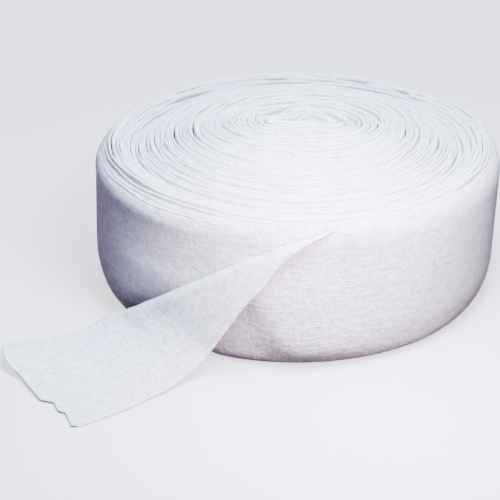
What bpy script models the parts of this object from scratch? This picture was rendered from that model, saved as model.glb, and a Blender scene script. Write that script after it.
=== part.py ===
"""A roll of tubular stockinette: a knitted cotton tube, pressed flat and wound on itself, with no core.

Metres, +Z up, origin at the centre of the flat base. The front of the roll faces -Y. The last stretch
of the tube is folded over at the front, so that it comes off the rim, down the side and out on the surface.
"""

import math

import bmesh
import bpy
from mathutils import Vector

# Driving dimensions: the wound roll, the pressed tube that it is wound from, and the loose end's two layers
ROLL_RADIUS = 0.100
TUBE_WIDTH = 0.076
LOOSE_THICKNESS = 0.0026
CLEARANCE = 0.0004

# The base is rounded by a quarter of an oval.
BASE_ROUND_IN = 0.0096
BASE_ROUND_UP = 0.0202

# How far the roll leans for each metre of height
LEAN_X = 0.031
LEAN_Y = 0.012

# The top's unevenness comes in over this share of the rim's height, above the wall
RIM_BLEND = 0.12

# How finely the curved shapes are divided
SPIN_STEPS = 72
TOP_STEPS = 2
WALL_STEPS = 4
BASE_STEPS = 6
LOOSE_STEPS_ALONG = 44
LOOSE_STEPS_ACROSS = 12

# The roll's top: the middle turns have slipped up into a dome, and the outer ones stand in a soft rim.
# Columns: distance from the axis as a share of the radius, height as a share of the tube's width.
TOP_SECTION = (
    (0.000, 1.099),
    (0.150, 1.099),
    (0.300, 1.095),
    (0.420, 1.079),
    (0.540, 1.053),
    (0.660, 1.007),
    (0.740, 0.967),
    (0.800, 0.933),
    (0.840, 0.945),
    (0.880, 0.971),
    (0.915, 0.976),
    (0.945, 0.963),
    (0.970, 0.938),
    (0.990, 0.895),
    (1.000, 0.832),
)

# The innermost turns are pressed into a flat oval, with a tuck at one side and a hollow at the other.
# Columns: centre x and y, half length along x, half length along y, height added, all in metres.
CORE_SHAPES = (
    (0.001, 0.002, 0.0270, 0.0160, -0.0020),
    (0.015, 0.012, 0.0120, 0.0060, -0.0035),
    (-0.012, -0.004, 0.0160, 0.0050, 0.0020),
)

# The loose end, section by section across the tube, from the rim to the cut.
# Columns: front edge x, y, z, back edge x, y, z, as shares of the roll's radius.
LOOSE_SECTIONS = (
    (0.155, -0.996, 0.713, 0.145, -0.974, 0.718),
    (0.046, -1.030, 0.657, 0.012, -1.011, 0.671),
    (-0.073, -1.032, 0.550, -0.152, -1.008, 0.597),
    (-0.145, -1.027, 0.437, -0.286, -0.979, 0.522),
    (-0.223, -1.020, 0.340, -0.400, -0.936, 0.445),
    (-0.311, -1.015, 0.209, -0.543, -0.862, 0.340),
    (-0.388, -1.020, 0.095, -0.682, -0.759, 0.221),
    (-0.525, -1.140, 0.018, -0.790, -0.625, 0.105),
    (-0.721, -1.356, 0.013, -0.932, -0.603, 0.022),
    (-0.830, -1.440, 0.013, -1.090, -0.730, 0.030),
    (-0.940, -1.518, 0.013, -1.330, -0.834, 0.060),
)

# The scalloped cut at the loose end, and how far from it the scallops are felt, as a share of the length.
# Columns: share of the way from the back edge to the front one, metres past the straight cut.
CUT_REACH = 0.2
CUT_SCALLOPS = (
    (0.00, 0.0000),
    (0.17, 0.0033),
    (0.22, 0.0001),
    (0.53, 0.0020),
    (0.63, -0.0013),
    (0.78, 0.0012),
    (0.84, -0.0001),
    (0.94, 0.0016),
    (1.00, 0.0000),
)


def clear_scene():
    for old in list(bpy.data.objects):
        bpy.data.objects.remove(old, do_unlink=True)


def cotton(name, colour):
    """A matt knitted cotton."""
    material = bpy.data.materials.new(name)
    material.use_nodes = True
    shader = material.node_tree.nodes["Principled BSDF"]
    shader.inputs["Base Color"].default_value = (*colour, 1.0)
    shader.inputs["Roughness"].default_value = 0.92
    shader.inputs["Metallic"].default_value = 0.0
    return material


def curve_point(rows, place):
    """The point at a place, counted in rows, on the Catmull-Rom curve through the rows."""
    first = min(int(place), len(rows) - 2)
    share = place - first
    before = Vector(rows[max(first - 1, 0)])
    start = Vector(rows[first])
    end = Vector(rows[first + 1])
    after = Vector(rows[min(first + 2, len(rows) - 1)])
    square = share * share
    cube = square * share
    point = start * (2 * cube - 3 * square + 1) + end * (3 * square - 2 * cube)
    point += (end - before) / 2 * (cube - 2 * square + share)
    return point + (after - start) / 2 * (cube - square)


def scallop(across):
    """How far the cut runs past a straight one, on straight lines between the table's rows."""
    for (low, low_depth), (high, high_depth) in zip(CUT_SCALLOPS, CUT_SCALLOPS[1:]):
        if across <= high:
            return low_depth + (high_depth - low_depth) * (across - low) / (high - low)
    return 0.0


def roll_section():
    """The even roll's half section as (distance from the axis, height), from the top's middle to the base's."""
    rows = [(out * ROLL_RADIUS, up * TUBE_WIDTH) for out, up in TOP_SECTION]
    section = [curve_point(rows, step / TOP_STEPS) for step in range((len(rows) - 1) * TOP_STEPS + 1)]
    rim_height = rows[-1][1]
    for step in range(1, WALL_STEPS):
        height = rim_height + (BASE_ROUND_UP - rim_height) * step / WALL_STEPS
        section.append(Vector((ROLL_RADIUS, height)))
    for step in range(BASE_STEPS + 1):
        turn = step / BASE_STEPS * math.pi / 2
        out = ROLL_RADIUS - BASE_ROUND_IN * (1 - math.cos(turn))
        section.append(Vector((out, BASE_ROUND_UP * (1 - math.sin(turn)))))
    section.append(Vector((0.0, 0.0)))
    return section


def lean(point):
    """Moves a point of the upright roll to its place on the leaning one."""
    return Vector((point.x + LEAN_X * point.z, point.y + LEAN_Y * point.z, point.z))


def top_unevenness(x, y):
    """How much higher the wound turns stand at a place on the top than the even section."""
    reach = math.hypot(x, y) / ROLL_RADIUS
    angle = math.atan2(y, x)
    rise = 0.0006 * reach * math.cos(2 * angle - 0.5) + 0.0006 * reach * math.cos(3 * angle + 1.0)
    for centre_x, centre_y, half_x, half_y, height in CORE_SHAPES:
        away = ((x - centre_x) / half_x) ** 2 + ((y - centre_y) / half_y) ** 2
        rise += height * math.exp(-away)
    return rise


def keep_outside(point, section, gap):
    """Pushes a point out from the upright roll until it is a gap away from its half section."""
    flat = Vector((math.hypot(point.x, point.y), point.z))
    nearest_distance = math.inf
    for start, end in zip(section, section[1:]):
        along = end - start
        share = min(max((flat - start).dot(along) / along.length_squared, 0.0), 1.0)
        on_section = start + along * share
        if (flat - on_section).length < nearest_distance:
            nearest_distance = (flat - on_section).length
            nearest = on_section
            outward = Vector((-along.y, along.x)).normalized()
    if (flat - nearest).dot(outward) > 0 and nearest_distance >= gap:
        return point
    moved = nearest + outward * gap
    scale = moved.x / flat.x
    return Vector((point.x * scale, point.y * scale, max(moved.y, LOOSE_THICKNESS / 2)))


def add_node(name, shape, material):
    mesh = bpy.data.meshes.new(name)
    shape.to_mesh(mesh)
    shape.free()
    mesh.materials.append(material)
    mesh.shade_smooth()
    node = bpy.data.objects.new(name, mesh)
    bpy.context.scene.collection.objects.link(node)
    return node


def build_wound_roll():
    """The wound form: its half section turned about the axis, then made uneven and leaning."""
    shape = bmesh.new()
    points = [shape.verts.new((point.x, 0.0, point.y)) for point in roll_section()]
    edges = [shape.edges.new(pair) for pair in zip(points, points[1:])]
    bmesh.ops.spin(
        shape,
        geom=points + edges,
        cent=(0, 0, 0),
        axis=(0, 0, 1),
        angle=math.tau,
        steps=SPIN_STEPS,
        use_merge=True,
    )
    bmesh.ops.remove_doubles(shape, verts=shape.verts, dist=0.00001)
    bmesh.ops.recalc_face_normals(shape, faces=shape.faces)
    rim_height = TOP_SECTION[-1][1] * TUBE_WIDTH
    for vert in shape.verts:
        above_rim = min(max(vert.co.z / rim_height - 1, 0.0), RIM_BLEND) / RIM_BLEND
        vert.co.z += above_rim * top_unevenness(vert.co.x, vert.co.y)
        vert.co = lean(vert.co)
    return add_node("wound_roll", shape, cotton("wound_cotton", (0.88, 0.88, 0.91)))


def loose_point(along, across, section):
    """A point of the loose end's middle surface: along from rim to cut, across from back edge to front."""
    row = along * (len(LOOSE_SECTIONS) - 1)
    front = curve_point([columns[:3] for columns in LOOSE_SECTIONS], row)
    back = curve_point([columns[3:] for columns in LOOSE_SECTIONS], row)
    point = back.lerp(front, across) * ROLL_RADIUS
    cut = (front - back).normalized()
    heading = Vector((cut.y, -cut.x, 0.0))
    near_cut = max(along - 1 + CUT_REACH, 0.0) / CUT_REACH
    point += heading * scallop(across) * near_cut
    point.z = max(point.z, LOOSE_THICKNESS / 2)
    return lean(keep_outside(point, section, LOOSE_THICKNESS / 2 + CLEARANCE))


def build_loose_end():
    """The end of the flat tube: a sheet as thick as its two layers, lofted through the sections."""
    shape = bmesh.new()
    bmesh.ops.create_grid(
        shape,
        x_segments=LOOSE_STEPS_ALONG,
        y_segments=LOOSE_STEPS_ACROSS,
        size=0.5,
    )
    section = roll_section()
    for vert in shape.verts:
        vert.co = loose_point(vert.co.x + 0.5, vert.co.y + 0.5, section)
    bmesh.ops.recalc_face_normals(shape, faces=shape.faces)
    node = add_node("loose_end", shape, cotton("loose_cotton", (0.84, 0.87, 0.92)))
    layers = node.modifiers.new("layers", "SOLIDIFY")
    layers.thickness = LOOSE_THICKNESS
    layers.offset = 0.0
    return node


clear_scene()
build_wound_roll()
build_loose_end()
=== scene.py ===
"""A roll of tubular stockinette, shown with every wound turn and its loose end folded over at the front.

Metres, +Z up, the roll's front facing -Y. The knitted tube is pressed flat and wound on itself; its last
stretch leaves the rim, is folded over down the side, and lies out on the surface it stands on.
"""

import math

import bmesh
import bpy
import numpy as np
from mathutils import Matrix


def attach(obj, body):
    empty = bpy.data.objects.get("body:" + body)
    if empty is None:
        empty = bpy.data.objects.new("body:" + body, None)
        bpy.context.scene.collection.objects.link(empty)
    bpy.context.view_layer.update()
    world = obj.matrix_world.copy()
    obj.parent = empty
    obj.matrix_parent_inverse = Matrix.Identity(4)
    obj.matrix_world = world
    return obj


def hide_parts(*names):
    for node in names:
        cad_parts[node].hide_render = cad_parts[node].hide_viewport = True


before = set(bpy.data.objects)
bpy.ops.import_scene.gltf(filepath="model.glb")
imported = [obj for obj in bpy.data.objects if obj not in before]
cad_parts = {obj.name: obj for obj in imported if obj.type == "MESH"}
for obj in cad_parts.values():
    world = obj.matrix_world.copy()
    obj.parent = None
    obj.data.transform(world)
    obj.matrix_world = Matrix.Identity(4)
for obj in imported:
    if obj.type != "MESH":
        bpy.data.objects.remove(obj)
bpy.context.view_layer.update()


# ---- The wound turns ----
# Some 66 turns of a knitted cotton tube, pressed flat to 76 mm and wound on itself with no core. The first
# fold is a flat oval, the turns grow round by the middle, and all their upper folds show on the top.

ROLL_RADIUS = 0.100
TUBE_WIDTH = 0.076

# From one turn to the next, and half of the pressed tube's thickness there
PITCH = 0.00137
RIBBON_HALF = 0.00062

# How far the roll leans for each metre of height
LEAN_X = 0.031
LEAN_Y = 0.012

# The upper folds' height over the roll.
# Columns: distance from the axis as a share of the radius, height as a share of the tube's width.
TOP_SECTION = (
    (0.000, 1.099),
    (0.150, 1.099),
    (0.300, 1.095),
    (0.420, 1.079),
    (0.540, 1.053),
    (0.660, 1.007),
    (0.740, 0.967),
    (0.800, 0.933),
    (0.840, 0.945),
    (0.880, 0.971),
    (0.915, 0.976),
    (0.945, 0.963),
    (0.970, 0.938),
    (0.990, 0.895),
    (1.000, 0.832),
)
SECTION_STEPS = 12

# How far the top swells and dips round the roll
TOP_SWELL = 0.0006

# The base is rounded by a quarter of an oval.
BASE_ROUND_IN = 0.0096
BASE_ROUND_UP = 0.0202

# Left of the front its foot is turned under further, between these heights. It comes in and goes out between
# these angles, in radians right of the front, and the wound turns keep clear of it.
TUCK_IN = 0.0085
TUCK_LOW = 0.009
TUCK_HIGH = 0.034
TUCK_STARTS = (-1.15, -0.85)
TUCK_ENDS = (-0.60, -0.38)
TUCK_CLEARANCE = 0.0022

# The turns' plan, from the first fold's flat oval to the outermost round.
# Columns: mean radius, half length along x, half length along y, how straight the long sides are.
TURN_PLAN = (
    (0.0076, 0.0140, 0.0007, 1.0),
    (0.0210, 0.0270, 0.0150, 0.8),
    (0.0350, 0.0400, 0.0300, 0.2),
    (0.0500, 0.0510, 0.0490, 0.0),
    (0.1000, 0.1000, 0.1000, 0.0),
)
STRAIGHTENING = 3
PATH_POINTS_PER_TURN = 360

# The first turns also run in a wave along x, which dies away out to this radius.
WAVE_DEPTH = 0.005
WAVE_STRETCH = 0.0075
WAVE_START = 0.6
WAVE_REACH = 0.035

# The first folds are pressed out of shape, with hollows on the right and behind on the left, and small tufts.
# Columns: centre x and y, half length along x, half length along y, height added.
CORE_SHAPES = (
    (0.001, 0.002, 0.0270, 0.0160, -0.0015),
    (0.015, 0.007, 0.0110, 0.0050, -0.0050),
    (0.025, 0.001, 0.0050, 0.0025, -0.0030),
    (-0.012, -0.004, 0.0160, 0.0050, 0.0010),
    (-0.021, 0.001, 0.0040, 0.0030, 0.0035),
    (-0.024, 0.008, 0.0050, 0.0030, -0.0065),
    (-0.015, 0.013, 0.0060, 0.0030, -0.0060),
    (0.001, 0.009, 0.0035, 0.0050, 0.0030),
)

# Right of the front: where the wound turns end, under the last one, and where the loose end leaves the rim
WOUND_END_ANGLE = math.radians(424)
APEX_ANGLE = math.radians(11.4)

# Points nearer than this are one point of the cloth.
MERGE_DISTANCE = 0.000002


def curve_through(rows, steps):
    """Points on a smooth curve through the rows, with so many steps to each span."""
    rows = np.asarray(rows, float)
    around = np.vstack([rows[:1], rows, rows[-1:]])
    place = np.linspace(0, len(rows) - 1, (len(rows) - 1) * steps + 1)
    first = np.minimum(place.astype(int), len(rows) - 2)
    share = (place - first)[:, None]
    before, start, end, after = (around[first + step] for step in range(4))
    point = start * (2 * share**3 - 3 * share**2 + 1) + end * (3 * share**2 - 2 * share**3)
    point += (end - before) / 2 * (share**3 - 2 * share**2 + share)
    return point + (after - start) / 2 * (share**3 - share**2)


def soft_step(low, high, value):
    """0 below low, 1 above high, with a soft rise between them."""
    share = np.clip((value - low) / (high - low), 0, 1)
    return share * share * (3 - 2 * share)


def soft_band(rise, fall, value):
    """0, then a soft rise to 1 over the first pair of values, and a fall back to 0 over the second."""
    return soft_step(*rise, value) * (1 - soft_step(*fall, value))


def hill(value, middle, spread):
    """1 at the middle, falling away softly on both sides of it."""
    return np.exp(-(((value - middle) / spread) ** 2))


def top_height(x, y):
    """How high the upper folds stand at a place over the roll."""
    section = curve_through(TOP_SECTION, SECTION_STEPS)
    reach = np.hypot(x, y) / ROLL_RADIUS
    angle = np.arctan2(y, x)
    height = np.interp(reach, section[:, 0], section[:, 1]) * TUBE_WIDTH
    height += TOP_SWELL * reach * (np.cos(2 * angle - 0.5) + np.cos(3 * angle + 1.0))
    for centre_x, centre_y, half_x, half_y, added in CORE_SHAPES:
        height += added * np.exp(-(((x - centre_x) / half_x) ** 2) - ((y - centre_y) / half_y) ** 2)
    return height


def tuck_depth(angle):
    """How far the roll's foot is turned under on the left of the front, beside the loose end."""
    return TUCK_IN * soft_band(TUCK_STARTS, TUCK_ENDS, angle)


def base_height(reach, angle):
    """How high the lower folds stand at a distance from the axis, at an angle right of the front."""
    into_round = np.clip((reach - ROLL_RADIUS + BASE_ROUND_IN) / BASE_ROUND_IN, 0, 1)
    rounded = BASE_ROUND_UP * (1 - np.sqrt(1 - into_round**2))
    depth = np.maximum(tuck_depth(angle), 1e-6)
    share = np.clip((reach + TUCK_CLEARANCE - ROLL_RADIUS + depth) / depth, 0, 1)
    tucked = TUCK_LOW + (TUCK_HIGH - TUCK_LOW) * (0.5 - np.sin(np.arcsin(1 - 2 * share) / 3))
    return np.maximum(rounded, tucked * (share > 0))


def leaning(points):
    """The points of an upright roll, moved to the leaning one."""
    moved = points.copy()
    moved[..., 0] += LEAN_X * points[..., 2]
    moved[..., 1] += LEAN_Y * points[..., 2]
    return moved


def slow_waves(seed, count, spread, turn_spread):
    """Waves across the roll that change from turn to turn: a function of x, y and the turn."""
    draw = np.random.default_rng(seed)
    across = draw.normal(0, 1 / spread, (count, 2))
    by_turn = draw.uniform(0.4 * turn_spread, turn_spread, count) * draw.choice((-1, 1), count)
    start = draw.uniform(0, math.tau, count)

    def height(x, y, turn):
        total = np.zeros(np.shape(x))
        for (step_x, step_y), step_turn, phase in zip(across, by_turn, start):
            total += np.sin(math.tau * (step_x * x + step_y * y + step_turn * turn) + phase)
        return total / math.sqrt(count / 2)

    return height


def tube_object(name, skin, along, around):
    """A closed tube through its skin's points, station by station, with a map in metres along and round."""
    stations, points = skin.shape[:2]
    shape = bmesh.new()
    bmesh.ops.create_grid(shape, x_segments=stations - 1, y_segments=points - 1, size=0.5)
    mesh = bpy.data.meshes.new(name)
    shape.to_mesh(mesh)
    shape.free()

    flat = np.empty(len(mesh.vertices) * 3)
    mesh.vertices.foreach_get("co", flat)
    flat = flat.reshape(-1, 3) + 0.5
    station = np.rint(flat[:, 0] * (stations - 1)).astype(int)
    point = np.rint(flat[:, 1] * (points - 1)).astype(int)
    mesh.vertices.foreach_set("co", skin[station, point].ravel())

    corner = np.empty(len(mesh.loops), int)
    mesh.loops.foreach_get("vertex_index", corner)
    cloth_map = np.stack([along[station[corner]], around[point[corner]]], axis=1)
    mesh.uv_layers.new(name="cloth").uv.foreach_set("vector", cloth_map.ravel())

    shape = bmesh.new()
    shape.from_mesh(mesh)
    bmesh.ops.remove_doubles(shape, verts=shape.verts, dist=MERGE_DISTANCE)
    bmesh.ops.recalc_face_normals(shape, faces=shape.faces)
    shape.to_mesh(mesh)
    shape.free()
    mesh.shade_smooth()
    piece = bpy.data.objects.new(name, mesh)
    bpy.context.scene.collection.objects.link(piece)
    return piece


def unit(vectors):
    return vectors / np.maximum(np.linalg.norm(vectors, axis=-1, keepdims=True), 1e-12)


def wound_path():
    """The pressed tube's middle line in plan, from the first fold outwards, with turn numbers and radii."""
    first_radius = TURN_PLAN[0][0]
    last_radius = ROLL_RADIUS - RIBBON_HALF - PITCH * (WOUND_END_ANGLE - APEX_ANGLE) / math.tau
    turns = (last_radius - first_radius) / PITCH
    turn = np.linspace(0, turns, int(turns * PATH_POINTS_PER_TURN))
    radius = first_radius + PITCH * turn
    radii, long_half, short_half, straight = np.array(TURN_PLAN).T
    half_x = np.interp(radius, radii, long_half)
    half_y = np.interp(radius, radii, short_half)
    straightness = np.interp(radius, radii, straight)
    angle = WOUND_END_ANGLE + (turns - turn) * math.tau
    side = np.sin(angle)
    straightened = np.tanh(STRAIGHTENING * side) / math.tanh(STRAIGHTENING)
    straightened = (1 - straightness) * side + straightness * straightened
    x = (half_x - half_y) * straightened + half_y * side
    y = -half_y * np.cos(angle)
    inner = np.clip(1 - radius / WAVE_REACH, 0, 1)
    y += WAVE_DEPTH * inner * np.sin(x / WAVE_STRETCH + WAVE_START)
    return x, y, turn, radius


# Stations along the tube lie this far apart on turns of these radii: further apart on the outer ones.
STATION_RADII = (0.01, 0.05)
STATION_GAPS = (0.0011, 0.0034)

# The turns sway sideways, and each stands higher or lower, by itself and in groups of two or three. How high
# and low they stand grows towards the core, up to a limit.
SWAY = 0.00022
UNEVEN_ALONE = 0.00032
UNEVEN_IN_GROUPS = 0.00030
TURNS_IN_GROUP = 2.4
CORE_UNEVENNESS = 4.5
CORE_REACH = 0.027
MOST_UNEVEN = 0.0011

# The turns lie slacker towards the back. Places are y over the distance from the axis: -1 in front, 1 behind.
SLACKER = (-0.8, 0.6)
SLACKEST = (0.0, 0.8)

# Between the groups a thinner, lower turn leaves an open groove, which comes and goes round the roll. Two
# more run at these shares of the radius where the turns are slacker. Where they are slackest, grooves are
# deeper and wider: the thinning is a share of the turn's thickness.
GROOVE_DEPTH = 0.0009
GROOVE_DEEPER_BEHIND = 0.0006
GROOVE_THINNING = 0.22
GROOVE_THINNING_BEHIND = 0.25
RING_GROOVES = (0.80, 0.925)
RING_GROOVE_SPREAD = 0.006

# Under the last turn's rim, from this share of the radius out, the turns are lower and shorter. Just inside
# it, at the front, they stand up a little.
UNDER_RIM = 0.935
UNDER_RIM_BLEND = 0.02
UNDER_RIM_DROP = 0.0019
UNDER_RIM_SHORTER = 0.009
BESIDE_RIM = 0.93
BESIDE_RIM_SPREAD = 0.014
BESIDE_RIM_RISE = 0.0006

# The lower folds keep off the rounded base, and are a little uneven.
BASE_CLEARANCE = 0.0012
BASE_UNEVEN = 0.0004

# A turn's section. The lower fold is lowest in its middle, and its sides are a little higher and this share
# of the turn's half thickness out. The upper fold is round, with so many points. FOOT_ROUND and FOLD_ROUND
# are their half widths on the cloth's map.
FOOT_SHARE = 0.9
FOOT_RISE = 0.0004
FOOT_ROUND = 0.001
FOLD_POINTS = 7
FOLD_RISE = 0.0007
FOLD_ROUND = 0.0012


def build_wound_turns():
    x, y, turn, radius = wound_path()
    length = np.concatenate([[0], np.cumsum(np.hypot(np.diff(x), np.diff(y)))])
    wanted = np.interp(radius, STATION_RADII, STATION_GAPS)
    count = np.concatenate([[0], np.cumsum(np.diff(length) / wanted[1:])])
    stations = int(count[-1])
    at = np.interp(np.linspace(0, count[-1], stations), count, length)
    x, y, turn = (np.interp(at, length, values) for values in (x, y, turn))

    group = slow_waves(11, 9, 0.16, 0.10)
    sway = SWAY * slow_waves(23, 12, 0.07, 0.45)(x, y, turn)
    outward = unit(np.stack([-np.gradient(y), np.gradient(x)], axis=1))
    outward *= np.sign(np.sum(outward * np.stack([x, y], axis=1), axis=1))[:, None]
    x = x + outward[:, 0] * sway
    y = y + outward[:, 1] * sway
    reach = np.hypot(x, y)

    phase = math.tau * (turn / TURNS_IN_GROUP + 0.35 * group(x, y, turn))
    saw = np.sin(phase) + 0.5 * np.sin(2 * phase) + 0.33 * np.sin(3 * phase)
    uneven = UNEVEN_ALONE * slow_waves(5, 16, 0.075, 0.5)(x, y, turn) + UNEVEN_IN_GROUPS * saw
    uneven = np.minimum(uneven * (1 + CORE_UNEVENNESS * hill(reach, 0, CORE_REACH)), MOST_UNEVEN)

    fading = np.clip(0.55 + 0.6 * slow_waves(37, 10, 0.08, 0.12)(x, y, turn), 0, 1)
    slacker = soft_step(*SLACKER, y / reach)
    slackest = soft_step(*SLACKEST, y / reach)
    fading *= 0.2 + 0.8 * slacker
    groove = np.clip(np.cos(phase + 0.5), 0, 1) ** 3 * fading
    share = reach / ROLL_RADIUS
    for ring in RING_GROOVES:
        groove = np.maximum(groove, hill(share, ring, RING_GROOVE_SPREAD) * slacker)
    uneven = uneven * (0.7 + 0.4 * slacker) - (GROOVE_DEPTH + GROOVE_DEEPER_BEHIND * slackest) * groove
    under_rim = np.clip((share - UNDER_RIM) / UNDER_RIM_BLEND, 0, 1)
    beside_rim = BESIDE_RIM_RISE * (1 - slacker) * hill(share, BESIDE_RIM, BESIDE_RIM_SPREAD)
    top = top_height(x, y) + (uneven + beside_rim) * (1 - under_rim) - UNDER_RIM_DROP * under_rim
    bottom = base_height(reach + BASE_CLEARANCE, np.arctan2(x, -y)) + UNDER_RIM_SHORTER * under_rim
    bottom += BASE_UNEVEN * (1 + np.sin(0.9 * turn))

    fold = np.linspace(0, math.pi, FOLD_POINTS)
    side = np.concatenate([[0, FOOT_SHARE], np.cos(fold), [-FOOT_SHARE, 0]])
    rise = np.concatenate([[0, FOOT_RISE], FOLD_RISE * (np.sin(fold) - 1), [FOOT_RISE, 0]])
    from_top = np.concatenate([[0, 0], np.ones(FOLD_POINTS), [0, 0]])
    narrower = (GROOVE_THINNING + GROOVE_THINNING_BEHIND * slackest) * groove
    half = RIBBON_HALF * (1 - narrower * (1 - under_rim))
    half[[0, -1]] = 0
    skin = np.empty((stations, len(side), 3))
    skin[..., 0] = x[:, None] + outward[:, :1] * side * half[:, None]
    skin[..., 1] = y[:, None] + outward[:, 1:] * side * half[:, None]
    skin[..., 2] = top[:, None] * from_top + bottom[:, None] * (1 - from_top) + rise
    skin[[0, -1], :, 2] -= rise * from_top
    over_fold = TUBE_WIDTH + np.linspace(-FOLD_ROUND, FOLD_ROUND, FOLD_POINTS)
    around = np.concatenate([[0, FOOT_ROUND], over_fold, [2 * TUBE_WIDTH - FOOT_ROUND, 2 * TUBE_WIDTH]])
    return tube_object("wound_turns", leaning(skin), at, around), at[-1]


def new_socket(group, name, kind, way, value=None):
    socket = group.interface.new_socket(name=name, in_out=way, socket_type=kind)
    if value is not None:
        socket.default_value = value


# The knit: how far apart its ribs and its rows lie
RIB_PITCH = 0.001
ROW_PITCH = 0.0008

# Painted shade: between the wound turns the cloth's colour is darkened where the grooves would lie in shade.
# It darkens over these distances from the upper fold, and more towards the back: from the first share to the
# second between these places along y.
PAINTED_SHADE_BELOW_FOLD = (0.0009, 0.0022)
PAINTED_SHADE_ALONG_Y = (-0.04, 0.06)
PAINTED_SHADE_SHARES = (0.2, 1.0)


def build_knit_group():
    """Knitted cotton: ribs of stitches along the tube and rows across it, with loose fibres between."""
    group = bpy.data.node_groups.new("knit", "ShaderNodeTree")
    new_socket(group, "Rib pitch", "NodeSocketFloat", "INPUT", RIB_PITCH)
    new_socket(group, "Row pitch", "NodeSocketFloat", "INPUT", ROW_PITCH)
    new_socket(group, "Painted shade between turns", "NodeSocketFloat", "INPUT", 0.0)
    new_socket(group, "Height", "NodeSocketFloat", "OUTPUT")
    new_socket(group, "Shade", "NodeSocketFloat", "OUTPUT")
    new_socket(group, "Inner face", "NodeSocketFloat", "OUTPUT")
    nodes, links = group.nodes, group.links
    given = nodes.new("NodeGroupInput")
    put_out = nodes.new("NodeGroupOutput")

    def maths(operation, first, second=None, third=None):
        node = nodes.new("ShaderNodeMath")
        node.operation = operation
        for socket, value in zip(node.inputs, (first, second, third)):
            if isinstance(value, bpy.types.NodeSocket):
                links.new(value, socket)
            elif value is not None:
                socket.default_value = value
        return node.outputs[0]

    def ranged(value, from_range, to_range):
        node = nodes.new("ShaderNodeMapRange")
        links.new(value, node.inputs["Value"])
        for socket, number in zip(("From Min", "From Max", "To Min", "To Max"), (*from_range, *to_range)):
            node.inputs[socket].default_value = number
        return node.outputs[0]

    cloth_map = nodes.new("ShaderNodeUVMap")
    cloth_map.uv_map = "cloth"
    on_cloth = cloth_map.outputs["UV"]
    apart = nodes.new("ShaderNodeSeparateXYZ")
    links.new(on_cloth, apart.inputs[0])

    # noise scales are counts for each metre of cloth
    def noise(scale, detail, roughness=0.6, place=on_cloth):
        node = nodes.new("ShaderNodeTexNoise")
        node.inputs["Scale"].default_value = scale
        node.inputs["Detail"].default_value = detail
        node.inputs["Roughness"].default_value = roughness
        links.new(place, node.inputs["Vector"])
        return node.outputs["Fac"]

    wander = maths("MULTIPLY_ADD", noise(180, 2), 1.6, -0.8)
    rib_place = maths("ADD", maths("DIVIDE", apart.outputs["Y"], given.outputs["Rib pitch"]), wander)
    rib_wave = maths("COSINE", maths("MULTIPLY", rib_place, math.tau))
    leg = maths("MULTIPLY", maths("PINGPONG", rib_place, 0.5), 0.9)
    row_place = maths("ADD", maths("DIVIDE", apart.outputs["X"], given.outputs["Row pitch"]), leg)
    row_place = maths("ADD", row_place, wander)
    row_wave = maths("COSINE", maths("MULTIPLY", row_place, math.tau))
    stitch = maths("MULTIPLY_ADD", rib_wave, 0.28, 0.5)
    stitch = maths("MULTIPLY_ADD", row_wave, 0.22, stitch)
    fibres = maths("MULTIPLY_ADD", noise(2600, 3), 0.9, -0.45)

    # thicker threads show as soft lines along the ribs and along the rows
    thread_lines = []
    for stretch in ((0.35, 1.0, 1.0), (1.0, 0.45, 1.0)):
        stretched = nodes.new("ShaderNodeMapping")
        stretched.inputs["Scale"].default_value = stretch
        links.new(on_cloth, stretched.inputs["Vector"])
        slub = noise(480, 2, 0.5, stretched.outputs["Vector"])
        thread_lines.append(maths("MULTIPLY_ADD", slub, 2.0, -1.0))
    threads = maths("ADD", *thread_lines)

    height = maths("MULTIPLY_ADD", threads, 0.8, maths("MULTIPLY_ADD", stitch, 0.6, fibres))
    links.new(height, put_out.inputs["Height"])
    shade = maths("MULTIPLY_ADD", threads, 0.33, maths("MULTIPLY_ADD", fibres, 0.34, 0.90))
    shade = maths("MULTIPLY_ADD", maths("SUBTRACT", stitch, 0.5), 0.08, shade)
    shade = maths("MULTIPLY_ADD", maths("SUBTRACT", noise(60, 3), 0.5), 0.12, shade)

    # painted shade: the colour is darkened below each wound turn's upper fold, and more towards the back
    from_fold = maths("ABSOLUTE", maths("SUBTRACT", apart.outputs["Y"], TUBE_WIDTH))
    below_fold = ranged(from_fold, PAINTED_SHADE_BELOW_FOLD, (0.0, 1.0))
    place = nodes.new("ShaderNodeTexCoord")
    place_apart = nodes.new("ShaderNodeSeparateXYZ")
    links.new(place.outputs["Object"], place_apart.inputs[0])
    painted_shade_towards_back = ranged(place_apart.outputs["Y"], PAINTED_SHADE_ALONG_Y, PAINTED_SHADE_SHARES)
    painted_shade = maths("MULTIPLY", below_fold, given.outputs["Painted shade between turns"])
    painted_shade = maths("MULTIPLY", painted_shade, painted_shade_towards_back)
    shade = maths("MULTIPLY", shade, maths("SUBTRACT", 1.0, painted_shade))
    inner_face = maths("GREATER_THAN", apart.outputs["Y"], TUBE_WIDTH)
    links.new(shade, put_out.inputs["Shade"])
    links.new(inner_face, put_out.inputs["Inner face"])
    return group


# A Mix node's two colour inputs and its colour output
MIX_FIRST, MIX_SECOND, MIXED = 6, 7, 2


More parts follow.
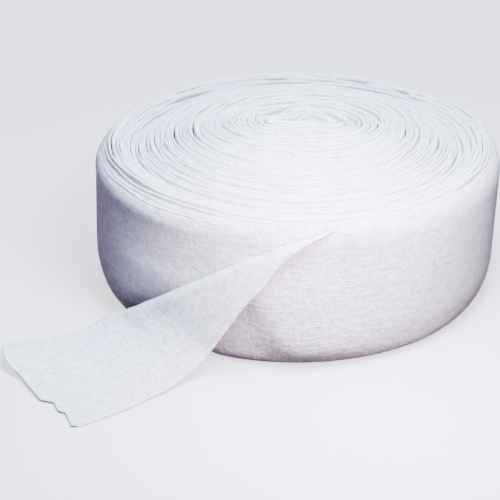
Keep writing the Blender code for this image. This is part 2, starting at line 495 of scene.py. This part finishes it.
def cotton_material(name, outer_colour, inner_colour, bump_distance, painted_shade_between_turns=0.0):
    """White knitted cotton, darker between stitches and uneven in patches, with painted shade between wound
    turns. Its two layers can differ.
    """
    material = bpy.data.materials.new(name)
    material.use_nodes = True
    nodes, links = material.node_tree.nodes, material.node_tree.links
    shader = nodes["Principled BSDF"]
    shader.inputs["Roughness"].default_value = 0.9
    shader.inputs["Specular IOR Level"].default_value = 0.15
    shader.inputs["Sheen Weight"].default_value = 0.15
    shader.inputs["Sheen Roughness"].default_value = 0.6
    knit = nodes.new("ShaderNodeGroup")
    knit.node_tree = bpy.data.node_groups["knit"]
    knit.inputs["Painted shade between turns"].default_value = painted_shade_between_turns
    faces = nodes.new("ShaderNodeMix")
    faces.data_type = "RGBA"
    faces.inputs[MIX_FIRST].default_value = (*outer_colour, 1)
    faces.inputs[MIX_SECOND].default_value = (*inner_colour, 1)
    links.new(knit.outputs["Inner face"], faces.inputs["Factor"])
    shade = nodes.new("ShaderNodeMix")
    shade.data_type = "RGBA"
    shade.blend_type = "MULTIPLY"
    shade.inputs["Factor"].default_value = 1.0
    links.new(faces.outputs[MIXED], shade.inputs[MIX_FIRST])
    links.new(knit.outputs["Shade"], shade.inputs[MIX_SECOND])
    links.new(shade.outputs[MIXED], shader.inputs["Base Color"])
    bump = nodes.new("ShaderNodeBump")
    bump.inputs["Strength"].default_value = 1.0
    bump.inputs["Distance"].default_value = bump_distance
    links.new(knit.outputs["Height"], bump.inputs["Height"])
    links.new(bump.outputs["Normal"], shader.inputs["Normal"])
    return material


WOUND_COLOUR = (0.85, 0.855, 0.88)
WOUND_BUMP = 0.0003
# how strongly the painted shade between the wound turns darkens their colour
WOUND_PAINTED_SHADE = 0.65

build_knit_group()
wound_turns, wound_length = build_wound_turns()
wound_knit = cotton_material("wound_knit", WOUND_COLOUR, WOUND_COLOUR, WOUND_BUMP, WOUND_PAINTED_SHADE)
wound_turns.data.materials.append(wound_knit)
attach(wound_turns, "root")
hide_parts("wound_roll")


# ---- The last turn and the loose end ----
# The tube's last turn and the stretch after it, in one piece. At the front its upper fold leaves the rim, and
# the pressed tube is folded over outwards along a slanting crease, down the side and out to a scalloped cut.

LAST_TURN_START = math.radians(420)

# Half of the loose end's thickness, and its crease's radius, which grows by this share down the side
LOOSE_HALF = 0.0007
FOLD_RADIUS = 0.00225
FOLD_LOOSENS = 0.7

# The loose end, station by station from where it leaves the rim to the cut.
# Columns: distance along the front edge; front edge x, y, z; crease or back edge x, y, z; bulge. All are
# shares of the roll's radius.
LOOSE_STATIONS = (
    (0.000, 0.195, -0.966, 0.719, 0.198, -0.963, 0.722, 0.000),
    (0.090, 0.121, -1.010, 0.693, 0.113, -0.991, 0.694, 0.000),
    (0.176, 0.046, -1.036, 0.660, 0.028, -1.009, 0.672, 0.000),
    (0.252, -0.014, -1.049, 0.617, -0.050, -1.013, 0.650, 0.002),
    (0.336, -0.073, -1.056, 0.562, -0.137, -1.011, 0.604, 0.004),
    (0.472, -0.145, -1.066, 0.456, -0.272, -0.982, 0.532, 0.006),
    (0.599, -0.222, -1.070, 0.365, -0.393, -0.941, 0.452, 0.006),
    (0.768, -0.308, -1.072, 0.232, -0.547, -0.862, 0.337, 0.000),
    (0.907, -0.382, -1.078, 0.120, -0.660, -0.777, 0.241, 0.000),
    (1.012, -0.455, -1.122, 0.060, -0.737, -0.729, 0.180, 0.000),
    (1.160, -0.538, -1.195, 0.023, -0.857, -0.650, 0.090, 0.000),
    (1.298, -0.628, -1.271, 0.012, -0.966, -0.685, 0.045, 0.000),
    (1.430, -0.721, -1.356, 0.008, -1.066, -0.735, 0.030, 0.000),
    (1.567, -0.830, -1.440, 0.008, -1.190, -0.780, 0.030, 0.000),
    (1.677, -0.918, -1.506, 0.008, -1.302, -0.820, 0.052, 0.000),
)
LOOSE_ROW_STEPS = 24
LOOSE_COLUMN_COUNT = 150

# Where things change along the loose end, as distances along its front edge in the same shares
CREASE_OPENS = (-0.05, 0.3)
CREASE_LOOSENS = (0.5, 0.9)
CREASE_ENDS = (1.1, 1.3)
APEX_RISE_ENDS = (0.0, 0.3)
SIDE_EDGE_RISES = (0.45, 0.75)
LEAVES_SIDE = (1.08, 1.28)
REACHES_FLOOR = (1.05, 1.3)
LIES_FLAT = (1.2, 1.45)
LOOSE_THICKNESS_COMES = (0.3, 1.0)

# At the apex the cloth runs up towards the crease, and near the rim's height it tilts with the rim.
APEX_RISE = 0.003
RIM_TILT = 0.9
RIM_TILT_HEIGHTS = (0.58, 0.78)

# From the front edge to the crease the cloth is longer than the way across by this factor, and below the
# crease it settles on the side within this distance.
CROSSING_SLACK = 1.02
SETTLES_WITHIN = 0.008

# Below the crease the cloth's lower edge stays this far from the bottom, and further beside the loose end.
SIDE_EDGE_UP = 0.0020
SIDE_EDGE_RISE = 0.0050

# The scalloped cut, and how far from it the scallops are felt, as a share of the roll's radius.
# Columns: share of the way from the back edge to the front one, metres past the straight cut.
CUT_REACH = 0.45
CUT_SCALLOPS = (
    (0.00, 0.0031),
    (0.06, 0.0066),
    (0.12, 0.0078),
    (0.20, 0.0084),
    (0.31, 0.0086),
    (0.36, 0.0074),
    (0.45, 0.0077),
    (0.53, 0.0071),
    (0.64, 0.0068),
    (0.68, 0.0040),
    (0.70, 0.0021),
    (0.77, 0.0029),
    (0.80, 0.0029),
    (0.83, 0.0007),
    (0.92, 0.0016),
    (0.97, 0.0024),
    (1.00, -0.0003),
)


def side_section():
    """The roll's outer section from 10 mm in on the top, over the rim, down the side and round the base."""
    top = curve_through(TOP_SECTION, SECTION_STEPS) * (ROLL_RADIUS, TUBE_WIDTH)
    rim = top[top[:, 0] > 0.90 * ROLL_RADIUS]
    side_heights = np.linspace(rim[-1, 1], BASE_ROUND_UP, 20)[1:]
    side = np.stack([np.full(len(side_heights), ROLL_RADIUS), side_heights], axis=1)
    turn = np.linspace(0, math.pi / 2, 25)[1:]
    base_reach = ROLL_RADIUS - BASE_ROUND_IN * (1 - np.cos(turn))
    base = np.stack([base_reach, BASE_ROUND_UP * (1 - np.sin(turn))], axis=1)
    return np.vstack([rim, side, base])


SIDE_SECTION = side_section()
SIDE_LENGTH = np.concatenate([[0], np.cumsum(np.linalg.norm(np.diff(SIDE_SECTION, axis=0), axis=1))])
SIDE_OUTWARD = unit(np.gradient(SIDE_SECTION, axis=0) @ np.array([[0.0, 1.0], [-1.0, 0.0]]))

# From this point on, past the rim's crest, the section only falls.
PAST_CREST = 6


def on_side(place, angle, inset):
    """Points of the roll's side: place is metres along its section, angle is right of the front."""
    reach = np.interp(place, SIDE_LENGTH, SIDE_SECTION[:, 0])
    height = np.interp(place, SIDE_LENGTH, SIDE_SECTION[:, 1])
    reach = reach - inset * np.interp(place, SIDE_LENGTH, SIDE_OUTWARD[:, 0])
    height = height - inset * np.interp(place, SIDE_LENGTH, SIDE_OUTWARD[:, 1])
    return np.stack([reach * np.sin(angle), -reach * np.cos(angle), height], axis=-1)


# Where the last turn's upper fold lies, as metres along the section, round the roll and at the apex
RIM_POINTS = int(np.argmax(SIDE_SECTION[:, 0] >= ROLL_RADIUS)) + 1
TOP_EDGE = float(np.interp(0.945 * ROLL_RADIUS, SIDE_SECTION[:RIM_POINTS, 0], SIDE_LENGTH[:RIM_POINTS]))
APEX_EDGE = float(np.interp(0.986 * ROLL_RADIUS, SIDE_SECTION[:RIM_POINTS, 0], SIDE_LENGTH[:RIM_POINTS]))

# The last turn is slack, and features of its side stand out by so many metres. Each comes in or goes out over
# a pair of values: angles in radians right of the front, or heights in metres.

# By the fold a soft ridge runs down to the right: its angle at a height, how much further right it is for
# each metre down, and how far it spreads to its left and right.
RIDGE_OUT = 0.0036
RIDGE_ANGLE = -0.166
RIDGE_HEIGHT = 0.041
RIDGE_SLANT = 6.1
RIDGE_SPREADS = (0.11, 0.34)
RIDGE_STARTS = (0.004, 0.012)
RIDGE_ENDS = (0.036, 0.060)

# At the front the lower edge is a soft band.
HEM_OUT = 0.0010
HEM_HEIGHT = 0.0050
HEM_SPREAD = 0.0045
HEM_STARTS = (-0.66, -0.24)
HEM_ENDS = (0.5, 1.2)

# Left of the fold the upper part is a full, soft shoulder.
SHOULDER_OUT = 0.0011
SHOULDER_HEIGHT = 0.0655
SHOULDER_SPREAD = 0.0045
SHOULDER_STARTS = (-1.90, -1.50)
SHOULDER_ENDS = (-0.80, -0.35)

# Further round on the left the whole side is fuller.
FULLER_OUT = 0.0009
FULLER_STARTS = (-2.20, -1.70)
FULLER_ENDS = (-1.30, -0.90)
FULLER_LOW = (0.008, 0.026)
FULLER_HIGH = (0.054, 0.068)

# Above the tuck the cloth bulges by this share of the tuck's depth.
TUCK_BULGE = 0.08
TUCK_BULGE_HEIGHT = 0.037
TUCK_BULGE_SPREAD = 0.005


def slack_out(angle, height):
    """How far the last turn's slack cloth stands out from the even side, at an angle right of the front."""
    from_ridge = angle - (RIDGE_ANGLE + RIDGE_SLANT * (RIDGE_HEIGHT - height))
    spread = np.where(from_ridge < 0, *RIDGE_SPREADS)
    ridge = RIDGE_OUT * hill(from_ridge, 0, spread) * soft_band(RIDGE_STARTS, RIDGE_ENDS, height)
    hem = HEM_OUT * hill(height, HEM_HEIGHT, HEM_SPREAD) * soft_band(HEM_STARTS, HEM_ENDS, angle)
    shoulder = SHOULDER_OUT * hill(height, SHOULDER_HEIGHT, SHOULDER_SPREAD)
    shoulder = shoulder * soft_band(SHOULDER_STARTS, SHOULDER_ENDS, angle)
    fuller = FULLER_OUT * soft_band(FULLER_LOW, FULLER_HIGH, height)
    fuller = fuller * soft_band(FULLER_STARTS, FULLER_ENDS, angle)
    bulge = TUCK_BULGE * hill(height, TUCK_BULGE_HEIGHT, TUCK_BULGE_SPREAD)
    tuck = tuck_depth(angle) * (bulge - 1 + soft_step(TUCK_LOW, TUCK_HIGH, height))
    return ridge + hem + shoulder + fuller + tuck


# Stations lie closer together from this angle to the apex.
CLOSER_FROM = math.radians(50)

# From this angle on the upper fold runs out over the rim. There it also lifts off, less further down the
# cloth.
NEAR_APEX = math.radians(40)
APEX_LIFT = 0.0026
APEX_LIFT_REACH = 0.007

# Round the roll both edges wander a little, and the lower one stays this far from the bottom.
UPPER_WANDER = 0.0009
UPPER_FINE_WANDER = 0.0006
LOWER_EDGE_UP = 0.0012
LOWER_WANDER = 0.0008


def turn_columns(across):
    """The last turn's middle surface on the roll's side: one column of points for each station."""
    angle = np.concatenate(
        [
            np.linspace(LAST_TURN_START, CLOSER_FROM, 190),
            np.linspace(CLOSER_FROM, APEX_ANGLE, 40)[1:],
        ]
    )
    inset = RIBBON_HALF + PITCH * (angle - APEX_ANGLE) / math.tau
    near_apex = 1 - soft_step(APEX_ANGLE, NEAR_APEX, angle)
    wander = UPPER_WANDER * np.sin(3.1 * angle + 0.4) + UPPER_FINE_WANDER * np.sin(7.3 * angle)
    upper = TOP_EDGE + (1 - near_apex) * wander + near_apex * (APEX_EDGE - TOP_EDGE)
    lowest = SIDE_LENGTH[-1] - LOWER_EDGE_UP - LOWER_WANDER * (1 + np.sin(5 * angle))
    lower = np.minimum(upper + TUBE_WIDTH, lowest)
    place = upper[:, None] + (lower - upper)[:, None] * across / TUBE_WIDTH
    lift = APEX_LIFT * near_apex[:, None] ** 2 * np.exp(-across / APEX_LIFT_REACH)
    height = np.interp(place, SIDE_LENGTH, SIDE_SECTION[:, 1])
    round_roll = np.where(angle > math.pi, angle - math.tau, angle)[:, None]
    points = on_side(place, angle[:, None], inset[:, None] - lift - slack_out(round_roll, height))
    return points, ROLL_RADIUS * (LAST_TURN_START - angle)


def loose_columns(across):
    """The middle surface past the apex: each column runs over the loose side, round the crease and down."""
    rows = curve_through(LOOSE_STATIONS, LOOSE_ROW_STEPS)
    out = np.linspace(0, rows[-1, 0], LOOSE_COLUMN_COUNT + 1)[1:]
    picked = np.stack([np.interp(out, rows[:, 0], rows[:, column]) for column in range(1, 8)], axis=1)
    front = picked[:, :3] * ROLL_RADIUS
    back = picked[:, 3:6] * ROLL_RADIUS
    bulge = picked[:, 6] * ROLL_RADIUS
    on_floor = soft_step(*REACHES_FLOOR, out)
    radius = FOLD_RADIUS * soft_band(CREASE_OPENS, CREASE_ENDS, out)
    radius *= 1 + FOLD_LOOSENS * soft_step(*CREASE_LOOSENS, out)

    angle = np.arctan2(back[:, 0], -back[:, 1])
    radial = np.stack([np.sin(angle), -np.cos(angle), np.zeros(len(out))], axis=1)
    tilt = RIM_TILT * soft_step(*RIM_TILT_HEIGHTS, back[:, 2] / ROLL_RADIUS)
    up = np.array([0.0, 0.0, 1.0])
    outward = radial * np.cos(tilt)[:, None] + up * np.sin(tilt)[:, None]
    outward = unit(outward * (1 - on_floor)[:, None] + up * on_floor[:, None])
    to_crease = back - front + up * (APEX_RISE * (1 - soft_step(*APEX_RISE_ENDS, out)))[:, None]
    to_crease = unit(to_crease - outward * np.sum(to_crease * outward, axis=1)[:, None])
    middle = back - to_crease * radius[:, None]
    loose_side = middle + outward * radius[:, None]
    roll_side = middle - outward * radius[:, None]

    turn_angle = np.arctan2(roll_side[:, 0], -roll_side[:, 1])
    crease_place = np.interp(-roll_side[:, 2], -SIDE_SECTION[PAST_CREST:, 1], SIDE_LENGTH[PAST_CREST:])
    lower = SIDE_LENGTH[-1] - SIDE_EDGE_UP - SIDE_EDGE_RISE * soft_step(*SIDE_EDGE_RISES, out)
    left_on_side = np.maximum(lower - crease_place, 0) * (1 - soft_step(*LEAVES_SIDE, out))

    loose_length = np.linalg.norm(loose_side - front, axis=1) * CROSSING_SLACK
    turn_length = math.pi * radius
    whole = loose_length + turn_length + left_on_side
    run = across[None, :] / TUBE_WIDTH * whole[:, None]

    share = np.clip(run / loose_length[:, None], 0, 1)[..., None]
    chord = (loose_side - front)[:, None, :]
    ending = to_crease[:, None, :] * np.linalg.norm(chord, axis=2, keepdims=True)
    points = (
        front[:, None, :] * (2 * share**3 - 3 * share**2 + 1)
        + loose_side[:, None, :] * (3 * share**2 - 2 * share**3)
        + chord * (share**3 - 2 * share**2 + share)
        + ending * (share**3 - share**2)
    )
    points = points + outward[:, None, :] * (bulge[:, None, None] * 4 * share * (1 - share))
    # out on the floor only the back edge stands up
    sunk = front[:, None, 2] + (back - front)[:, None, 2] * share[..., 0] ** 3
    lying = soft_step(*LIES_FLAT, out)[:, None]
    points[..., 2] = points[..., 2] * (1 - lying) + sunk * lying

    bend = np.clip((run - loose_length[:, None]) / np.maximum(turn_length, 1e-9)[:, None], 0, 1) * math.pi
    round_crease = middle[:, None, :] + radius[:, None, None] * (
        np.cos(bend)[..., None] * outward[:, None, :] + np.sin(bend)[..., None] * to_crease[:, None, :]
    )
    past_loose = (run > loose_length[:, None])[..., None]
    points = np.where(past_loose, round_crease, points)

    down = np.clip(run - (loose_length + turn_length)[:, None], 0, None)
    wall_place = crease_place[:, None] + down
    standing = slack_out(turn_angle[:, None], np.interp(wall_place, SIDE_LENGTH, SIDE_SECTION[:, 1]))
    on_wall = on_side(wall_place, turn_angle[:, None], RIBBON_HALF - standing)
    off_wall = (roll_side - on_side(crease_place, turn_angle, RIBBON_HALF))[:, None, :]
    near_crease = np.exp(-down / SETTLES_WITHIN)[..., None]
    on_wall = on_wall + off_wall * np.maximum(near_crease, on_floor[:, None, None])
    past_crease = (down > 0)[..., None]
    return np.where(past_crease, on_wall, points), out * ROLL_RADIUS


def both_layers(middle, facing, half):
    """The skin round a middle surface: its upper layer across, then its lower layer back."""
    offset = facing * half[..., None]
    return np.concatenate([middle + offset, (middle - offset)[:, -2::-1]], axis=1)


def smoothed(points, first, rounds):
    """The surface with its kinks evened out from the first station on; its edges only along themselves."""
    points = points.copy()
    for _ in range(rounds):
        zone = points[first:]
        along = zone.copy()
        along[1:-1] = (zone[:-2] + 2 * zone[1:-1] + zone[2:]) / 4
        both = along.copy()
        both[:, 1:-1] = (along[:, :-2] + 2 * along[:, 1:-1] + along[:, 2:]) / 4
        points[first:] = both
    return points


# Points across the tube: some close to its edges, where it is rounded, and the rest evenly between
EDGE_POINTS = (0, 0.00012, 0.0004)
INSIDE_FROM = 0.0010
INSIDE_POINTS = 74

# The surface is evened out from so many stations before the apex, in so many rounds.
SMOOTH_BEFORE_APEX = 24
SMOOTH_ROUNDS = 5

# The tube's mouth gapes a little, by twice this height. Its middle and its spread are shares of the way from
# the back edge to the front one, and its reach from the cut is a share of the roll's radius.
GAPE_MIDDLE = 0.20
GAPE_SPREAD = 0.13
GAPE_HEIGHT = 0.0011
GAPE_REACH = 0.22

# At the mouth the layers thin, the lower one reaches further, and the rim stands out between the outer and
# the inner face. The map runs on by its gap to the rim and again past it.
MOUTH_THINNING = 0.3
LOWER_LAYER_FURTHER = 0.0022
MOUTH_ROUND = 0.0002
MOUTH_MAP_GAP = 0.0003

# Inside the mouth the cloth's inner face runs back this far. It stays off the tube's edges by its inset,
# and off the outer face by the cloth's thickness where there is room.
MOUTH_DEPTH = 0.025
INNER_INSET = 0.0007
CLOTH_THICKNESS = 0.0004
LEAST_HALF = 0.00006


def build_last_turn():
    inside = np.linspace(INSIDE_FROM, TUBE_WIDTH - INSIDE_FROM, INSIDE_POINTS)
    across = np.concatenate([EDGE_POINTS, inside, TUBE_WIDTH - np.array(EDGE_POINTS[::-1])])
    turn_points, turn_along = turn_columns(across)
    loose_points, loose_along = loose_columns(across)
    middle = np.concatenate([turn_points, loose_points])
    along = np.concatenate([turn_along, turn_along[-1] + loose_along])
    apex = len(turn_along) - 1
    middle = smoothed(middle, apex - SMOOTH_BEFORE_APEX, SMOOTH_ROUNDS)
    out = (along - along[apex]) / ROLL_RADIUS

    shares, depths = np.array(CUT_SCALLOPS).T
    depth = np.interp(1 - across / TUBE_WIDTH, shares, depths)
    heading = unit(middle[-1] - middle[-4])
    heading[:, 2] = 0
    near_cut = np.clip((out - out[-1] + CUT_REACH) / CUT_REACH, 0, 1)
    middle += heading[None] * depth[None, :, None] * near_cut[:, None, None]

    gape = hill(1 - across / TUBE_WIDTH, GAPE_MIDDLE, GAPE_SPREAD)
    at_mouth = soft_step(-GAPE_REACH, 0.0, out - out[-1])

    thickness = RIBBON_HALF + (LOOSE_HALF - RIBBON_HALF) * soft_step(*LOOSE_THICKNESS_COMES, out)
    thickness[0] = 0
    from_edge = np.minimum(across, TUBE_WIDTH - across)
    inwards = np.clip(from_edge[None] / np.maximum(thickness, 1e-6)[:, None], 0, 1)
    half = thickness[:, None] * np.sqrt(1 - (1 - inwards) ** 2)
    half = half * (1 - MOUTH_THINNING * at_mouth[:, None])
    opened = GAPE_HEIGHT * gape[None] * at_mouth[:, None]
    half = half + opened
    half[:, [0, -1]] = 0
    middle[..., 2] = np.maximum(middle[..., 2] + opened, half)

    step_along = np.gradient(middle, axis=0)
    step_across = np.gradient(middle, axis=1)
    facing = unit(np.cross(step_along, step_across))

    outer = both_layers(middle, facing, half)

    reach_in = int(np.argmax(along > along[-1] - MOUTH_DEPTH))
    inner_across = INNER_INSET + across * (TUBE_WIDTH - 2 * INNER_INSET) / TUBE_WIDTH
    inner_middle = np.empty_like(middle[reach_in:])
    inner_half = np.empty(inner_middle.shape[:2])
    for station in range(len(inner_middle)):
        outside = middle[reach_in + station]
        for axis in range(3):
            inner_middle[station, :, axis] = np.interp(inner_across, across, outside[:, axis])
        layer_inside = np.maximum(half[reach_in + station] - CLOTH_THICKNESS, LEAST_HALF)
        inner_half[station] = np.interp(inner_across, across, layer_inside)
    inner_half[:, [0, -1]] = 0
    inner_half[0] = 0
    inner = both_layers(inner_middle, facing[reach_in:], inner_half)[::-1]
    reaching = np.concatenate([np.zeros(len(across)), LOWER_LAYER_FURTHER * gape[-2::-1]])
    outer += heading[0] * reaching[None, :, None] * at_mouth[:, None, None]
    inner += heading[0] * reaching[None, :, None] * at_mouth[reach_in:][::-1, None, None]
    rim = (outer[-1] + inner[0]) / 2 + MOUTH_ROUND * unit(outer[-1] - outer[-2])
    skin = np.concatenate([outer, rim[None], inner])
    back_inside = 2 * along[-1] - along[reach_in:][::-1] + 2 * MOUTH_MAP_GAP
    lengths = np.concatenate([along, [along[-1] + MOUTH_MAP_GAP], back_inside])
    around = np.concatenate([across, 2 * TUBE_WIDTH - across[-2::-1]])
    return tube_object("last_turn_and_loose_end", leaning(skin), lengths, around), along[-1]


# One white cotton on both faces: the outer face's pink is a painted tint of the shade on the side, the inner
# face's blue a painted tint of the light on the loose end
LOOSE_OUTER_COLOUR_PAINTED_SHADE = (0.87, 0.835, 0.87)
LOOSE_INNER_COLOUR_PAINTED_LIGHT = (0.88, 0.905, 0.93)
LOOSE_BUMP = 0.0005

last_turn, last_length = build_last_turn()
loose_knit = cotton_material("loose_knit", LOOSE_OUTER_COLOUR_PAINTED_SHADE, LOOSE_INNER_COLOUR_PAINTED_LIGHT, LOOSE_BUMP)
last_turn.data.materials.append(loose_knit)
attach(last_turn, "root")
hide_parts("loose_end")


# ---- The floor, the lights and the camera ----
# A plain pale surface with a glow of its own, two soft lights at the front, one overhead, one behind on the
# left and one behind, and a violet surround. The lights are tinted, from blue to violet, for a cool shade.

FLOOR_HALF = 8.0
FLOOR_COLOUR = (0.50, 0.50, 0.52)
FLOOR_GLOW_COLOUR = (0.97, 0.97, 1.0)
FLOOR_GLOW = 1.6

floor_shape = bmesh.new()
bmesh.ops.create_grid(floor_shape, x_segments=1, y_segments=1, size=FLOOR_HALF)
floor_mesh = bpy.data.meshes.new("floor")
floor_shape.to_mesh(floor_mesh)
floor_shape.free()
floor = bpy.data.objects.new("floor", floor_mesh)
bpy.context.scene.collection.objects.link(floor)
floor_material = bpy.data.materials.new("floor_white")
floor_material.use_nodes = True
floor_shader = floor_material.node_tree.nodes["Principled BSDF"]
floor_shader.inputs["Base Color"].default_value = (*FLOOR_COLOUR, 1)
floor_shader.inputs["Emission Color"].default_value = (*FLOOR_GLOW_COLOUR, 1)
floor_shader.inputs["Emission Strength"].default_value = FLOOR_GLOW
floor_shader.inputs["Roughness"].default_value = 0.8
floor_shader.inputs["Specular IOR Level"].default_value = 0.1
floor_mesh.materials.append(floor_material)
# the cloth's shaded side takes its light from the surround, not from the floor
floor.visible_diffuse = False


def soft_light(name, angle, elevation, distance, size, power, colour):
    """A square light that faces the roll's middle, at an angle right of the front and an elevation."""
    light = bpy.data.lights.new(name, "AREA")
    light.shape = "SQUARE"
    light.size = size
    light.energy = power
    light.color = colour
    lamp = bpy.data.objects.new(name, light)
    aim = Matrix.Translation((0, 0, TUBE_WIDTH / 2))
    turned = Matrix.Rotation(math.radians(angle), 4, "Z")
    tilted = Matrix.Rotation(math.radians(90 - elevation), 4, "X")
    lamp.matrix_world = aim @ turned @ tilted @ Matrix.Translation((0, 0, distance))
    lamp.visible_camera = False
    bpy.context.scene.collection.objects.link(lamp)


# Each one's angle and elevation in degrees, distance and size in metres, power in watts, and colour
soft_light("main", 15, 55, 0.30, 0.12, 5.2, (0.66, 0.80, 1.0))
soft_light("front", 16, 23, 0.22, 0.08, 1.0, (1.0, 0.74, 0.92))
soft_light("overhead", 0, 88, 1.5, 0.5, 31, (0.50, 0.60, 1.0))
soft_light("left", -140, 30, 0.70, 0.30, 1.2, (0.96, 0.52, 1.0))
soft_light("behind", 175, 25, 0.80, 0.50, 3.2, (0.98, 0.93, 1.0))

SURROUND_COLOUR = (0.62, 0.46, 1.0)
SURROUND_STRENGTH = 0.115

world = bpy.data.worlds.new("pale_surround")
world.use_nodes = True
background = world.node_tree.nodes["Background"]
background.inputs["Color"].default_value = (*SURROUND_COLOUR, 1)
background.inputs["Strength"].default_value = SURROUND_STRENGTH
bpy.context.scene.world = world

# The camera stands in front of the roll. Its angles, in degrees: turned to the left, down from level, rolled.
CAMERA_PLACE = (0.0, -0.7392, 0.3809)
CAMERA_TURN = 1.683
CAMERA_DOWN = 26.513
CAMERA_ROLL = -0.176
CAMERA_LENS = 116.44

camera_data = bpy.data.cameras.new("camera")
camera_data.lens = CAMERA_LENS
camera_data.sensor_width = 36
camera = bpy.data.objects.new("camera", camera_data)
camera.matrix_world = (
    Matrix.Translation(CAMERA_PLACE)
    @ Matrix.Rotation(math.radians(CAMERA_TURN), 4, "Z")
    @ Matrix.Rotation(math.radians(90 - CAMERA_DOWN), 4, "X")
    @ Matrix.Rotation(math.radians(CAMERA_ROLL), 4, "Z")
)
bpy.context.scene.collection.objects.link(camera)
bpy.context.scene.camera = camera
